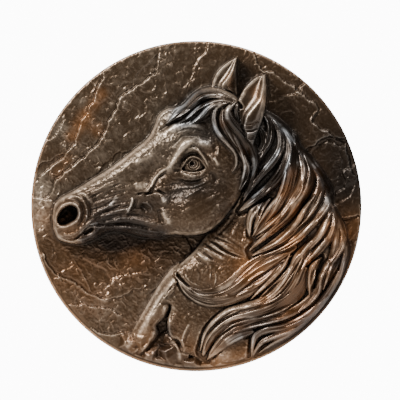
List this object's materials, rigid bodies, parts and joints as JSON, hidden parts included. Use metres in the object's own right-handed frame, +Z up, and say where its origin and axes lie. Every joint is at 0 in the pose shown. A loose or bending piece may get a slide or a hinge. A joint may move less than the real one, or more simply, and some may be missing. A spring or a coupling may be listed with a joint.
{
  "type": "wall plaque",
  "caption": "Round wall plaque with a horse's head and flowing mane in high relief on a rough ground, flat back with a hanging keyhole.",
  "frame": {"origin": "centre of the flat back, on the wall", "axes": "+X right and +Z up as the plaque hangs, +Y into the wall; the relief rises towards -Y"},
  "size_m": [0.3298, 0.0535, 0.33],
  "materials": {
    "bronze": "dark brown bronze patina, satin, rubbed to copper and gold on the raised edges"
  },
  "bodies": {
    "root": {"plaque": "bronze"}
  },
  "joints": []
}
